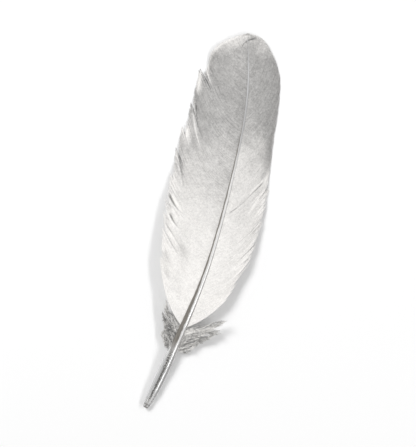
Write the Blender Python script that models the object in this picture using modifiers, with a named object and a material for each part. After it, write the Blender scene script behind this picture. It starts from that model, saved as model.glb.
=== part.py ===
"""A silver-painted goose quill feather, lying on a table with its upper side up.

The feather is laid out along its shaft. A place is a distance along the shaft from the quill's end,
and a reach is a distance from the shaft's middle line out over a vane. Both are in millimetres, and
so is every size here. Tables of stations are read as smooth curves. +Y runs from the quill to the
tip, +X towards the narrow vane and +Z up from the table. The finished meshes are in metres.
"""

import math

import bmesh
import bpy
import numpy as np

MM = 0.001
GAP = 0.35  # clear space between neighbouring pieces
BOX_MIDDLE = (4.18, 84.89)  # the middle of the feather's outline, which goes over the origin

# The shaft, from the quill's end to its fine tip.
SHAFT_LENGTH = 169.0
HEADING = [(0, 12), (12, 10), (25, 8.2), (50, 7), (60, 4.8), (74, 1.2), (90, -1), (112, -3.2), (130, -5.4),
           (140, -9), (150, -13.5), (160, -17.5), (169, -17.5)]
UNDERSIDE = [(0, 0), (12, 0), (25, 1.6), (45, 6.0), (70, 9.2), (95, 8.6), (120, 6.2), (145, 3.4), (169, 1.2)]
RADIUS = [(0, 0.95), (0.6, 1.2), (2.5, 1.5), (5, 1.75), (9, 2.1), (20, 2.2), (25, 2.05), (29, 1.85),
          (46, 1.6), (58, 1.3), (75, 1.12), (91, 1.0), (103, 0.9), (130, 0.68), (156, 0.5), (169, 0.25)]
LEVEL_FROM = 6.0  # nearer the end than this, the quill is rounded off about one level line
PIT_RADIUS = 0.5  # the small hole in the quill's end
PIT_DEPTH = 1.6
GROOVE = [(30, 0), (50, 0.3), (120, 0.25), (169, 0)]  # depth of the furrow underneath, in shaft radii
GROOVE_HALF_ANGLE = math.radians(55)
SHAFT_SIDES = 16
SHAFT_RINGS = 44
FIRST_RING = 0.6  # where the quill's rounded end has come out to its side
RING_CROWDING = 1.15  # rings are closer together towards the quill's end

# A barb runs out from the shaft and bends towards the tip. A fan pairs the place where a barb leaves
# the shaft with the place that its end is beside, and an outline gives the reach of that end. A split
# is (place beside its mouth, share of the barb that stays joined, width of its mouth). Straight gives,
# at places along the edge, the share of a barb's run towards the tip that it makes evenly.
WIDE_VANE = {
    "side": -1,
    "fan": [(39.2, 58.5), (50, 71), (61, 81), (77, 97), (98.5, 124), (112, 141), (130, 156), (150, 166.5),
            (160, 169.8), (168.4, 171.6)],
    "outline": [(58.5, 18.6), (64, 20.6), (78, 23.8), (95, 26.3), (119, 26.5), (130, 24.7), (154, 21.6),
                (157, 18.4), (163, 16.6), (167, 13), (169.6, 7.6), (171, 3), (171.6, 0.25)],
    "edge_height": [(58.5, 6.4), (85, 3.4), (100, 1.2), (112, 0), (150, 0), (172, 1.0)],
    "splits": [(66, 0.75, 0.6), (79, 0.45, 0.7), (85.5, 0.8, 0.6), (92, 0.8, 0.6), (103, 0.8, 0.6),
               (115, 0.8, 1.3), (125, 0.8, 0.6), (137.5, 0.55, 0.9), (155.3, 0.72, 2.6)],
    "straight": [(58.5, 0.55), (78, 0.75), (95, 0.65), (112, 0.36), (140, 0.3), (172, 0.4)],
    "locks": 28, "ribs_per_lock": 2, "columns": 10,
    "thickness": 0.5, "furrow": 0.22, "lock_tip": 0.3, "split_step": 0.9, "flutter": 0.0,
}
NARROW_VANE = {
    "side": 1,
    "fan": [(39.2, 58), (60, 84), (75, 98), (91, 113.5), (105, 131), (120, 148), (135, 160), (150, 168),
            (160, 170.4), (168.4, 171.7)],
    "outline": [(58, 13.1), (66, 14.4), (77, 17.2), (97, 17.4), (116, 15.5), (132, 14.2), (150, 14.2),
                (157, 12.8), (164, 9.8), (168, 7.4), (170.4, 4.4), (171.7, 0.25)],
    "edge_height": [(58, 6.0), (85, 3.0), (100, 1.0), (112, 0), (150, 0), (172, 1.0)],
    "splits": [(66, 0.7, 0.6), (75, 0.75, 0.7), (84, 0.65, 0.8), (93, 0.7, 0.6), (107.5, 0.75, 1.0)],
    "straight": [(58, 0.62), (172, 0.62)], "locks": 28, "ribs_per_lock": 2, "columns": 8,
    "thickness": 0.5, "furrow": 0.2, "lock_tip": 0.3, "split_step": 0.6, "flutter": 0.0,
}
WIDE_SIDE_DOWN = {
    "side": -1,
    "fan": [(28.2, 28.8), (31, 33), (34, 40), (37.6, 46)],
    "outline": [(28.8, 5.0), (33, 8.0), (40, 10.4), (46, 12.2)],
    "edge_height": [(28.8, 1.6), (33, 2.2), (40, 3.6), (46, 5.0)],
    "splits": "every lock", "split_joined": 0.3, "split_width": 1.2,
    "straight": [(28, 0.8), (47, 0.8)], "locks": 5, "ribs_per_lock": 2, "columns": 7,
    "thickness": 0.9, "furrow": 0.0, "lock_tip": 1.2, "split_step": 0.0, "flutter": 0.7,
}
NARROW_SIDE_DOWN = {
    "side": 1,
    "fan": [(28.2, 30), (31, 36.5), (34.5, 43.5), (38, 50)],
    "outline": [(30, 6.5), (36.5, 10.5), (43.5, 16), (50, 17)],
    "edge_height": [(30, 1.4), (36.5, 2.5), (43.5, 4.3), (50, 6.2)],
    "splits": "every lock", "split_joined": 0.3, "split_width": 1.3,
    "straight": [(28, 0.8), (50, 0.8)], "locks": 6, "ribs_per_lock": 2, "columns": 8,
    "thickness": 0.7, "furrow": 0.0, "lock_tip": 1.2, "split_step": 0.0, "flutter": 0.4,
}
BARB_BEND = 2.6  # how late along its length a barb turns towards the tip
GROWTH_BEND = 3  # how late along its length a longer or shorter barb differs from its neighbours
CAMBER = 1.7  # how late along its length a barb dips to the vane's edge
ROOT_RISE = 0.25  # height of the vanes' roots over the shaft's middle line, in shaft radii
LOCKS_FROM = 1.0  # barbs of this reach end level, and locks show in those longer by LOCKS_FULL
LOCKS_FULL = 8.0
SHORTEST = 1.0  # a barb's growth is a share of its length, or of this when it is shorter
NEARLY_WHOLE = 0.999  # a barb with no split beside it stays joined this far
FAN_STEPS = 400


def smooth(stations, at):
    """Reads the smooth curve through the stations, which has no bumps between them."""
    x, y = np.array(stations, float).T
    run = np.diff(x)
    rise = np.diff(y) / run
    turns = rise[:-1] * rise[1:] <= 0
    before = 2 * run[1:] + run[:-1]
    after = run[1:] + 2 * run[:-1]
    safe = np.where(turns, 1, rise[:-1]), np.where(turns, 1, rise[1:])
    middle = np.where(turns, 0, (before + after) / (before / safe[0] + after / safe[1]))
    slope = np.concatenate([rise[:1], middle, rise[-1:]])
    at = np.clip(at, x[0], x[-1])
    k = np.clip(np.searchsorted(x, at) - 1, 0, len(run) - 1)
    t = (at - x[k]) / run[k]
    ease = t * t * (3 - 2 * t)
    lean = run[k] * (slope[k] * t * (1 - t) ** 2 - slope[k + 1] * t * t * (1 - t))
    return y[k] * (1 - ease) + y[k + 1] * ease + lean


LINE_STEP = 0.25
LINE_PLACES = np.arange(0, 180, LINE_STEP)
LINE_HEADINGS = np.radians(smooth(HEADING, LINE_PLACES + LINE_STEP / 2))
LINE_X = np.concatenate([[0], np.cumsum(np.sin(LINE_HEADINGS) * LINE_STEP)[:-1]])
LINE_Y = np.concatenate([[0], np.cumsum(np.cos(LINE_HEADINGS) * LINE_STEP)[:-1]])


def shaft_middle_height(place):
    return float(smooth(UNDERSIDE, place) + smooth(RADIUS, max(place, LEVEL_FROM)))


def beside_shaft(place, reach, height):
    """The point at a place along the shaft and a reach to its right, at a height over the table."""
    heading = math.radians(float(smooth(HEADING, place)))
    x = np.interp(place, LINE_PLACES, LINE_X) + reach * math.cos(heading)
    y = np.interp(place, LINE_PLACES, LINE_Y) - reach * math.sin(heading)
    return (float(x) - BOX_MIDDLE[0]) * MM, (float(y) - BOX_MIDDLE[1]) * MM, height * MM


def material(name, colour, roughness, metallic):
    finish = bpy.data.materials.new(name)
    finish.use_nodes = True
    shader = finish.node_tree.nodes["Principled BSDF"]
    shader.inputs["Base Color"].default_value = (*colour, 1)
    shader.inputs["Roughness"].default_value = roughness
    shader.inputs["Metallic"].default_value = metallic
    return finish


def piece(name, mesh_builder, finish, collection):
    mesh = bpy.data.meshes.new(name)
    mesh_builder.to_mesh(mesh)
    mesh_builder.free()
    mesh.materials.append(finish)
    made = bpy.data.objects.new(name, mesh)
    collection.objects.link(made)
    return made


def shaft_section(place, radius):
    """One ring round the shaft: round in the quill, with a furrow underneath in the rachis."""
    depth = float(smooth(GROOVE, place))
    ring = []
    for turn in range(SHAFT_SIDES):
        angle = 2 * math.pi * turn / SHAFT_SIDES
        from_below = abs((angle + math.pi / 2 + math.pi) % (2 * math.pi) - math.pi)
        inside = min(from_below / GROOVE_HALF_ANGLE, 1)
        reach = radius * (1 - depth * math.cos(inside * math.pi / 2) ** 2)
        height = shaft_middle_height(place) + reach * math.sin(angle)
        ring.append(beside_shaft(place, reach * math.cos(angle), height))
    return ring


def make_shaft(finish, collection):
    """The quill and rachis, lofted in one piece from the pit in the quill's end to the tip."""
    spread = np.linspace(0, 1, SHAFT_RINGS) ** RING_CROWDING
    places = np.concatenate([[0], FIRST_RING + (SHAFT_LENGTH - FIRST_RING) * spread])
    sections = [shaft_section(PIT_DEPTH, PIT_RADIUS * 0.7), shaft_section(0, PIT_RADIUS)]
    sections += [shaft_section(place, float(smooth(RADIUS, place))) for place in places]
    builder = bmesh.new()
    rings = [[builder.verts.new(point) for point in section] for section in sections]
    for lower, upper in zip(rings, rings[1:]):
        for k in range(SHAFT_SIDES):
            after = (k + 1) % SHAFT_SIDES
            builder.faces.new((lower[k], upper[k], upper[after], lower[after]))
    builder.faces.new(rings[0])
    builder.faces.new(list(reversed(rings[-1])))
    bmesh.ops.recalc_face_normals(builder, faces=builder.faces)
    shaft = piece("quill_shaft", builder, finish, collection)
    shaft.data.shade_smooth()
    return shaft


def root_of(sheet, edge):
    """The place where the barb that ends beside a place leaves the shaft."""
    fan_places = np.linspace(sheet["fan"][0][0], sheet["fan"][-1][0], FAN_STEPS)
    return float(np.interp(edge, smooth(sheet["fan"], fan_places), fan_places))


def lock_borders(sheet):
    """The lock borders' places along the edge. Each split's mouth is on one of them, and the others spread
    evenly between."""
    first, last = sheet["fan"][0][0], sheet["fan"][-1][0]
    step = (last - first) / sheet["locks"]
    fixed = [(0, first)]
    if sheet["splits"] == "every lock":
        splits = {k: (sheet["split_joined"], sheet["split_width"]) for k in range(1, sheet["locks"])}
    else:
        splits = {}
        for mouth, joined, width in sheet["splits"]:
            root = root_of(sheet, mouth)
            k = max(round((root - first) / step), fixed[-1][0] + 1)
            fixed.append((k, root))
            splits[k] = (joined, width)
    roots = smooth(fixed + [(sheet["locks"], last)], np.arange(sheet["locks"] + 1))
    return smooth(sheet["fan"], roots), splits


def barb_points(sheet, edge, in_lock, lip, joined, width):
    """The points along one barb. in_lock is 0 at a lock's lower border and 1 at its upper one. lip is
    -1 or 1 on the lower or upper lip of a split, and 0 elsewhere."""
    root = root_of(sheet, edge)
    radius = float(smooth(RADIUS, root))
    inner = radius + GAP
    outer = float(smooth(sheet["outline"], edge))
    straight = float(smooth(sheet["straight"], edge))
    border = (2 * in_lock - 1) ** 2
    length_share = min(1, max(0, outer - LOCKS_FROM) / LOCKS_FULL)
    growth = -sheet["lock_tip"] * border * length_share - sheet["split_step"] * lip
    root_height = shaft_middle_height(root) + ROOT_RISE * radius
    edge_height = float(smooth(sheet["edge_height"], edge))
    points = []
    for column in range(sheet["columns"] + 1):
        t = column / sheet["columns"]
        way = t + growth / max(outer - inner, SHORTEST) * t ** GROWTH_BEND
        opening = max(0, t - joined) / (1 - joined)
        forward = straight * way + (1 - straight) * way ** BARB_BEND
        place = root + (edge - root) * forward + lip * width / 2 * opening
        dip = min(way, 1) ** CAMBER
        furrow = sheet["furrow"] * math.sin(math.pi * t) * border
        height = root_height * (1 - dip) + edge_height * dip - furrow
        points.append((place, sheet["side"] * (inner + (outer - inner) * way), height))
    return points


def make_sheet(name, sheet, finish, collection):
    """A vane or a tuft of down: locks of barbs side by side, joined from the shaft as far as each split
    leaves them, and thickened upwards from their underside."""
    borders, splits = lock_borders(sheet)
    builder = bmesh.new()
    grid = {}

    def corner(rib, column, lip, point):
        key = (rib, column, lip)
        if key not in grid:
            grid[key] = builder.verts.new(beside_shaft(*point))
        return grid[key]

    per_lock = sheet["ribs_per_lock"]
    for lock in range(sheet["locks"]):
        ribs = []
        for step in range(per_lock + 1):
            in_lock = step / per_lock
            edge = borders[lock] + (borders[lock + 1] - borders[lock]) * in_lock
            border = lock if step == 0 else lock + 1
            joined, width = splits.get(border, (1, 0)) if step in (0, per_lock) else (1, 0)
            lip = 0 if joined == 1 else (1 if step == 0 else -1)
            points = barb_points(sheet, edge, in_lock, lip, min(joined, NEARLY_WHOLE), width)
            lift = sheet["flutter"] * (-1) ** lock
            kept = round(joined * sheet["columns"])
            ribs.append([])
            for column, (place, reach, height) in enumerate(points):
                own_lip = lip if column > kept else 0
                height += lift * (column / sheet["columns"]) ** 2 if own_lip or 0 < step < per_lock else 0
                ribs[-1].append(corner(lock * per_lock + step, column, own_lip, (place, reach, height)))
        for lower, upper in zip(ribs, ribs[1:]):
            for k in range(sheet["columns"]):
                corners = (lower[k], lower[k + 1], upper[k + 1], upper[k])
                builder.faces.new(corners if sheet["side"] > 0 else corners[::-1])
    made = piece(name, builder, finish, collection)
    made.data.shade_smooth()
    wall = made.modifiers.new("thickness", "SOLIDIFY")
    wall.thickness = sheet["thickness"] * MM
    wall.offset = 1
    return made


def build():
    for old in list(bpy.data.objects):
        bpy.data.objects.remove(old, do_unlink=True)
    feather = bpy.data.collections.new("goose_quill_feather")
    bpy.context.scene.collection.children.link(feather)
    horn = material("painted horn", (0.78, 0.77, 0.75), 0.25, 0.35)
    silver = material("silver paint on barbs", (0.66, 0.66, 0.66), 0.42, 0.6)
    down = material("silver-dusted down", (0.60, 0.60, 0.59), 0.75, 0.2)
    make_shaft(horn, feather)
    make_sheet("wide_vane", WIDE_VANE, silver, feather)
    make_sheet("narrow_vane", NARROW_VANE, silver, feather)
    make_sheet("wide_side_down", WIDE_SIDE_DOWN, down, feather)
    make_sheet("narrow_side_down", NARROW_SIDE_DOWN, down, feather)


build()
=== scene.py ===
"""The looks of a silver-painted goose quill feather that lies on a pale table, upper side up.

The feather is laid out along its shaft, as its solids are. A place is a distance along the shaft from
the quill's end, and a reach is a distance from the shaft's middle line out over a vane. Both are in
millimetres, and so are heights over the table. Tables of stations are read as smooth curves. Meshes
are in metres, in the solids' frame: +Y runs to the tip, +X to the narrow vane, and +Z is up.
"""

import math

import bpy
import numpy as np
from mathutils import Matrix, Vector


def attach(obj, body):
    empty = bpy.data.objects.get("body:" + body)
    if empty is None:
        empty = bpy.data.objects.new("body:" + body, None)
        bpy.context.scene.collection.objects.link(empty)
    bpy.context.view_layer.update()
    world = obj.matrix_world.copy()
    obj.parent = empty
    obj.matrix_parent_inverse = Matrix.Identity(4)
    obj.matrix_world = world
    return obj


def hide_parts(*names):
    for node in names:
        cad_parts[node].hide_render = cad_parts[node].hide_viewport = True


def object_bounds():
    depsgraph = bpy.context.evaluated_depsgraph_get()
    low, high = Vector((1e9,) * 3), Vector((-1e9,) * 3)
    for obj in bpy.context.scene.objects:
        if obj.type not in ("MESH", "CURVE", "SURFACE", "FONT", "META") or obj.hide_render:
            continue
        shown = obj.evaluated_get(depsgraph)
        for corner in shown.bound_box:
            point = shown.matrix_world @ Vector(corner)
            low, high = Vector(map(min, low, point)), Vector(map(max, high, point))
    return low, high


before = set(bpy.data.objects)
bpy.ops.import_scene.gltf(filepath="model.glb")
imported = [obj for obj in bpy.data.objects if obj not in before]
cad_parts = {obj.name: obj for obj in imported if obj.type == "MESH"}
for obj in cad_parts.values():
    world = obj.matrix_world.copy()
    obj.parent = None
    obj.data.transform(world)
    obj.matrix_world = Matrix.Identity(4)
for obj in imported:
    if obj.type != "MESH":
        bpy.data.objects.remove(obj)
SOLID_BOX = [list(corner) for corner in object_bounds()]

MM = 0.001
BODY = "root"

# ---------------------------------------------------------------- layout
# The shaft's and the vanes' tables are the solids' own, apart from the last point of each vane's outline.
BOX_MIDDLE = (4.18, 84.89)  # the middle of the feather's outline, which is over the origin
SHAFT_LENGTH = 169.0
HEADING = [(0, 12), (12, 10), (25, 8.2), (50, 7), (60, 4.8), (74, 1.2), (90, -1), (112, -3.2), (130, -5.4),
           (140, -9), (150, -13.5), (160, -17.5), (169, -17.5)]
UNDERSIDE = [(0, 0), (12, 0), (25, 1.6), (45, 6.0), (70, 9.2), (95, 8.6), (120, 6.2), (145, 3.4), (169, 1.2)]
RADIUS = [(0, 0.95), (0.6, 1.2), (2.5, 1.5), (5, 1.75), (9, 2.1), (20, 2.2), (25, 2.05), (29, 1.85),
          (46, 1.6), (58, 1.3), (75, 1.12), (91, 1.0), (103, 0.9), (130, 0.68), (156, 0.5), (169, 0.25)]
LEVEL_FROM = 6.0  # nearer the end than this, the quill is rounded off about one level line
GROOVE = [(30, 0), (50, 0.3), (120, 0.25), (169, 0)]  # depth of the furrow underneath, in shaft radii
GROOVE_HALF_ANGLE = math.radians(55)
PIT_RADIUS = 0.5
PIT_DEPTH = 1.6
BARB_BEND = 2.6  # how late along its length a barb turns towards the tip
GROWTH_BEND = 3  # how late along its length a longer or shorter barb differs from its neighbours
CAMBER = 1.7  # how late along its length a barb dips to the vane's edge
ROOT_RISE = 0.25  # height of the vanes' roots over the shaft's middle line, in shaft radii
LOCKS_FROM = 1.0  # barbs of this reach end level, and locks show in those longer by LOCKS_FULL
LOCKS_FULL = 8.0

# A fan pairs the place where a barb leaves the shaft with the place that its end is beside. An outline
# gives the reach of that end. A split is (place beside its mouth, share of the barb that stays joined,
# width of its mouth). Straight gives the share of a barb's run towards the tip that it makes evenly.
WIDE_VANE = {
    "side": -1,
    "fan": [(39.2, 58.5), (50, 71), (61, 81), (77, 97), (98.5, 124), (112, 141), (130, 156), (150, 166.5),
            (160, 169.8), (168.4, 171.6)],
    "outline": [(58.5, 18.6), (64, 20.6), (78, 23.8), (95, 26.3), (119, 26.5), (130, 24.7), (154, 21.6),
                (157, 18.4), (163, 16.6), (167, 13), (169.6, 7.6), (171, 3), (171.6, 0.0)],
    "edge_height": [(58.5, 6.4), (85, 3.4), (100, 1.2), (112, 0), (150, 0), (172, 1.0)],
    "splits": [(66, 0.75, 0.6), (79, 0.45, 0.7), (85.5, 0.8, 0.6), (92, 0.8, 0.6), (103, 0.8, 0.6),
               (115, 0.8, 1.3), (125, 0.8, 0.6), (137.5, 0.55, 0.9), (155.3, 0.72, 2.6)],
    "straight": [(58.5, 0.55), (78, 0.75), (95, 0.65), (112, 0.36), (140, 0.3), (172, 0.4)],
    "locks": 28, "lock_tip": 0.3, "split_step": 0.9,
}
NARROW_VANE = {
    "side": 1,
    "fan": [(39.2, 58), (60, 84), (75, 98), (91, 113.5), (105, 131), (120, 148), (135, 160), (150, 168),
            (160, 170.4), (168.4, 171.7)],
    "outline": [(58, 13.1), (66, 14.4), (77, 17.2), (97, 17.4), (116, 15.5), (132, 14.2), (150, 14.2),
                (157, 12.8), (164, 9.8), (168, 7.4), (170.4, 4.4), (171.7, 0.0)],
    "edge_height": [(58, 6.0), (85, 3.0), (100, 1.0), (112, 0), (150, 0), (172, 1.0)],
    "splits": [(66, 0.7, 0.6), (75, 0.75, 0.7), (84, 0.65, 0.8), (93, 0.7, 0.6), (107.5, 0.75, 1.0)],
    "straight": [(58, 0.62), (172, 0.62)], "locks": 28, "lock_tip": 0.3, "split_step": 0.6,
}

# ---------------------------------------------------------------- the fine surface's own sizes
BARBS_PER_VANE = 330
BARB_UNEVEN = 0.14  # how far a barb may be from its even place, in spacings
BARB_COVER = 1.7  # width of a barb's web, in spacings, so that neighbours overlap
BARB_HEIGHT = 0.16
WEB_SIDES = 6
WEB_SEGMENTS = 26
WEB_LOSES = [(0, 0.2), (0.08, 0), (0.9, 0), (0.97, 0.3), (1, 0.8)]  # how much thinner it is along a barb
ZIPPED_LOSES = 0.7  # the share of that where no barbs hang loose
LOOSE_AT = 0.5  # the looseness from which it is all of that
BARB_SHINGLE = 0.1  # how steeply one edge of a web is tucked under its neighbour
BARB_SWELL = 0.5  # how much the vane's surface ripples
RIPPLES = (2.6, 38.0)  # how many there are along a barb, and along the vane
BARB_FRAY = 0.02  # how much shorter than its neighbours a barb may be, as a share
FRAY_RARITY = 4.0  # the higher, the fewer barbs are short
LOOSE_FRAY = 3.0  # how much more loose barbs fray
LOOSE_STRAY = 2.5  # and how much more their ends stray sideways
STRAY_BEND = 4.0  # how late along its length a barb strays
BARB_ROOT_IN = 0.5  # where the barbs spring from, in shaft radii
SHEET_MIDDLE = 0.22  # height of the barbs over the solid sheets' underside
GUIDE_COLUMNS = 28
GUIDE_ROWS_PER_LOCK = 6
FAN_STEPS = 400
LIP_LIFT = 0.3  # how far a split's upper lip stands up and its lower lip dips, at its mouth
LIP_BEND = 1.5  # how soon that fades from the split across the lock
LEVEL_TIP_FROM = (146, 157)  # places along the edge between which the locks' ends grow level
RIM_LIFT = 0.5  # how far the barbs' ends turn up round the feather's tip
RIM_FROM = (156, 163)  # places along the edge between which the turned-up rim starts
RIM_TURN = (0.88, 1.0)  # along a barb, where it turns up

# Where barbs hang loose: (place along the edge, looseness).
WIDE_VANE["loose"] = [(58.5, 1.0), (70, 0.7), (95, 0.4), (115, 0.15), (130, 0.1), (150, 0.02), (172, 0.0)]
NARROW_VANE["loose"] = [(58, 1.0), (92, 0.8), (104, 0.4), (120, 0.1), (150, 0.02), (172, 0.0)]

# Where barbs have come apart into a thin wedge that narrows inwards: its points from its mouth, its depth
# and half width there, and how pale its lower lip is. The depth is also painted darker, as painted shade,
# and the pale lower lip is a painted highlight. A point here and below is (towards the narrow vane,
# towards the tip) from the quill's end.
PARTINGS = [
    ([(-5.4, 107.9), (-1.1, 104.6), (0.4, 102.9), (4.6, 100.9)], 0.22, 0.2, 0.1),
    ([(-15.4, 134), (-14.2, 130.6), (-12.8, 126.8), (-11.6, 123.4), (-10.4, 119.5)], 0.4, 0.48, 0.3),
    ([(-17.4, 112.5), (-15, 107.4), (-12.6, 102), (-10.9, 98), (-8.8, 92.5)], 0.34, 0.6, 0.4),
    ([(-15.8, 92.6), (-13, 89.4), (-10, 87), (-6.1, 85.4)], 0.5, 0.6, 0.4),
    ([(-12.9, 84.4), (-11.3, 82.3), (-9.3, 80.6), (-6, 78.5)], 0.45, 0.6, 0.4),
    ([(-13.8, 80), (-8.8, 75.7), (-4, 71), (-0.7, 67)], 0.25, 0.5, 0.3),
    ([(-16.6, 153.5), (-14.5, 149.5), (-12.2, 145.5), (-11, 141)], 0.3, 0.4, 0.6),
    ([(22.5, 108.8), (20.6, 105.2), (18.6, 102), (17.2, 98.8), (14.2, 94.8)], 0.32, 0.42, 0.0),
    ([(11.8, 91.7), (14.4, 94.8), (17.1, 98.6), (18.6, 102), (20, 104.2)], 0.3, 0.38, 0.0),
    ([(21.3, 109), (19.4, 106), (17, 102.8)], 0.2, 0.35, 0.0),
    ([(26, 93.4), (24.6, 89.6)], 0.22, 0.3, 0.3), ([(24, 93.6), (22.6, 90)], 0.15, 0.3, 0.2),
    ([(18.2, 144.6), (15.7, 140.7), (14.3, 132.9), (11.4, 126.4), (10.7, 124.3)], 0.06, 0.4, 0.15),
    ([(26.8, 82.5), (22.9, 75.7), (20, 70)], 0.25, 0.35, 0.3),
    ([(25.8, 75.4), (22.6, 71.2), (20, 68)], 0.3, 0.45, 0.3),
    ([(-10.8, 61.5), (-7, 58.2), (-4.5, 55.8)], 0.15, 0.5, 0.2),
    ([(1.9, 168.3), (-0.2, 167.5), (-1.8, 165.9), (-2.7, 164.2), (-2.9, 160.5)], 0.4, 0.5, 0.2),
]
# Pale lines in the paint, which lie level: their points, half width, and how pale they are. They are partly
# thinner paint and partly painted highlight, along the turned-up rim round the tip, the lifted corners of
# locks and the lips of splits.
PALE_LINES = [
    ([(-15.3, 150), (-16.2, 154.5), (-15.2, 158.8), (-12.4, 162.6), (-7.5, 166), (-3, 168.2), (1, 169.7),
      (4.5, 170.3)], 0.8, 0.6),
    ([(-15.2, 129), (-12.8, 123.5), (-10.6, 119.5), (-8.2, 116)], 0.28, 0.55),
    ([(-15.3, 151.8), (-14.2, 148.6), (-12.6, 145.8), (-11, 143)], 0.35, 0.6),
    ([(-17.9, 148.8), (-17.2, 145.5), (-16.4, 142), (-15.4, 138)], 1.0, 1.1),
    ([(-18.3, 124.5), (-18.6, 118.5)], 0.8, 0.7), ([(-17.3, 111.5), (-15.9, 107)], 0.5, 0.5),
    ([(-14.2, 92.6), (-11.6, 89.6), (-8, 86.4)], 0.5, 0.6), ([(-12.5, 86.5), (-8.6, 82.2)], 0.5, 0.4),
    ([(23.4, 104), (21.6, 98.5), (19.6, 93)], 0.35, 0.7),
    ([(21.9, 109.2), (19.6, 105.2), (17.8, 101.2)], 0.3, 0.7),
    ([(24.6, 106.6), (25.8, 103), (26.2, 98)], 0.4, 0.8),
    ([(24.8, 97.5), (22.8, 92.4)], 0.35, 0.5), ([(26.2, 84), (23.6, 78.4), (20.4, 72.4)], 0.45, 0.5),
    ([(25.6, 77.4), (22.6, 72), (19.4, 67.2)], 0.45, 0.5), ([(24.4, 70.5), (21.2, 66)], 0.4, 0.4),
]
PARTING_MOUTH = (-0.1, 0.1)  # along its line, where a parting gets deep
FADE_BEND = 0.8  # how soon along its line it gets shallow again
PARTING_NARROWS = 0.75  # how much of its width it loses along its line
LIP_ASIDE = 1.9  # how far a parting's pale lip lies from its line, in half widths
PALE_RIM = (0.94, 0.99)  # along a barb, where the paint thins out at the vane's edge and a painted highlight lies along it

# Where the vane is paler or darker than round about: middle of the patch, its half length and half
# width, the direction that it runs in from +Y towards +X, in degrees, and the change. Most patches are
# thinner or thicker paint; the darker patches on the narrow vane's right and near the wide vane's base are
# painted shade, and the palest corners at the wide vane's left edge are painted highlight as well as thinner
# paint.
PAINT_AND_SHADE_PATCHES = [
    ((-15.2, 143), 4.5, 2.2, -32, 0.05), ((-16, 120.8), 4.0, 2.0, -15, -0.9),
    ((-15.8, 98.5), 4.5, 1.7, -20, -0.45), ((-11.5, 121.5), 6.0, 1.0, -28, -0.2),
    ((25.6, 103), 5.5, 1.2, -5, -0.8), ((23.4, 111.4), 2.5, 0.8, 0, -0.5),
    ((21.6, 111.6), 3.0, 0.9, 8, 0.3), ((16.5, 113), 11.0, 3.5, 4, -0.1),
    ((-3, 70.5), 4.0, 2.0, -40, 0.4), ((-9.5, 66), 3.0, 1.6, -50, 0.3), ((-7, 59.5), 3.0, 1.6, -50, 0.3),
    ((16, 146), 14.0, 3.5, -12, 0.12), ((22.5, 120), 8.0, 1.8, -12, 0.35),
    ((-8, 163.5), 7.0, 2.5, 60, -0.6), ((-2, 155), 9.0, 5.0, -10, -0.12), ((-2, 56), 8.0, 3.5, 0, 0.12),
    ((16.5, 93), 8.0, 3.0, 0, 0.12), ((-4, 77), 6.0, 4.0, -20, 0.08), ((5.5, 166), 5.0, 3.0, -30, -0.3),
    ((-12.5, 158), 5.0, 1.5, -10, -0.15), ((-14.5, 106), 6.0, 1.8, -25, 0.3),
]

# A tuft of down is laid out like a vane, and reaches slightly further than its solid. Its barbs draw
# together into clumps, which curl most nearest the quill. Tone is how pale they are, from there to the
# vane. The wide tuft's darker band is partly silver dust and partly painted shade, and the narrow tuft's
# dark last clump, beside the vane's base, is painted shade.
WIDE_SIDE_DOWN = {
    "side": -1, "fan": [(28.2, 28.8), (31, 33), (34, 40), (38.6, 47)],
    "outline": [(28.8, 5.0), (33, 8.0), (40, 10.4), (47, 12.4)],
    "edge_height": [(28.8, 1.6), (33, 2.2), (40, 3.6), (47, 5.0)], "clumps": 18, "barbs_per_clump": 11,
    "tone": [(0, 0.5), (0.4, 0.5), (0.58, 0.3), (0.75, 0.55), (1, 0.7)],
}
NARROW_SIDE_DOWN = {
    "side": 1, "fan": [(28.2, 30), (31, 36.5), (34.5, 43.5), (38.6, 50.6)],
    "outline": [(30, 6.5), (36.5, 10.5), (43.5, 16), (50.6, 17)],
    "edge_height": [(30, 1.4), (36.5, 2.5), (43.5, 4.3), (50.6, 6.2)], "clumps": 20, "barbs_per_clump": 10,
    "tone": [(0, 0.75), (0.5, 0.52), (0.72, 0.66), (0.84, 1.0), (0.93, 0.9), (1, 0.35)],
}
DOWN_STRAIGHT = 0.8  # straight, for both tufts
DOWN_POINTS = 18
DOWN_GATHER = 0.65  # how far a clump's barbs draw together at their ends
DOWN_CURL = (1.7, 0.9)  # how far a clump sways from its line, nearest the quill and nearest the vane
DOWN_WAVES = (8, 14)  # how far a clump's curl turns on its way out, in radians
DOWN_LIFT = 1.3  # how far a clump may stand up over the tuft's edge height
CLUMP_LIFT = (-0.4, 1.0)  # the shares of that between which the clumps differ
STEM_LIFT = 0.3  # and by which a clump's barbs do
CLUMP_LENGTH = (0.88, 1.0)
CLUMP_TONE = 0.18  # how much paler or darker than its neighbours a clump may be
STEM_LENGTH = (0.85, 1.0)  # of a barb, as a share of its clump's
STEM_SWAY = (0.6, 1.0)  # of a barb, as a share of its clump's
STEM_LAG = 0.5  # how far a barb's curl may be ahead of its clump's or behind it, in radians
STEM_THINS = 0.7  # how much of its radius a barb's stem loses
SWAY_OUTWARDS = 0.6  # how far a curl goes in and out, as a share of its sway
SWAY_UPWARDS = 0.5  # and how far up and down
DOWN_CREST = 0.32  # how much paler the crests of a clump's curls are than its average, as painted highlight, with painted shade in the troughs
BARBULE_SPACING = 0.25
BARBULE_LENGTH = 0.85
BARBULE_RADIUS = 0.035
BARBULE_CURVE = 6.0  # how far a barbule's end bends aside, in barbule radii
BARBULE_TWIST = 0.8  # how far round its stem a barbule may be from its even place, in radians
BARBULE_LEAN = (0.8, 1.25)  # how far it leans out from its stem, in radians
BARBULE_TIP_LEAN = 0.45  # how much less it leans out at the stem's end
BARBULE_SHARES = [(0, 0.45), (0.25, 1), (0.8, 0.95), (1, 0.5)]  # of its length, along the stem
DOWN_BARB_RADIUS = 0.1
DOWN_CLEARANCE = 0.4  # how far over the table the down's stems stay
TABLE_CLEARANCE = 0.05  # and the vanes

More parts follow.
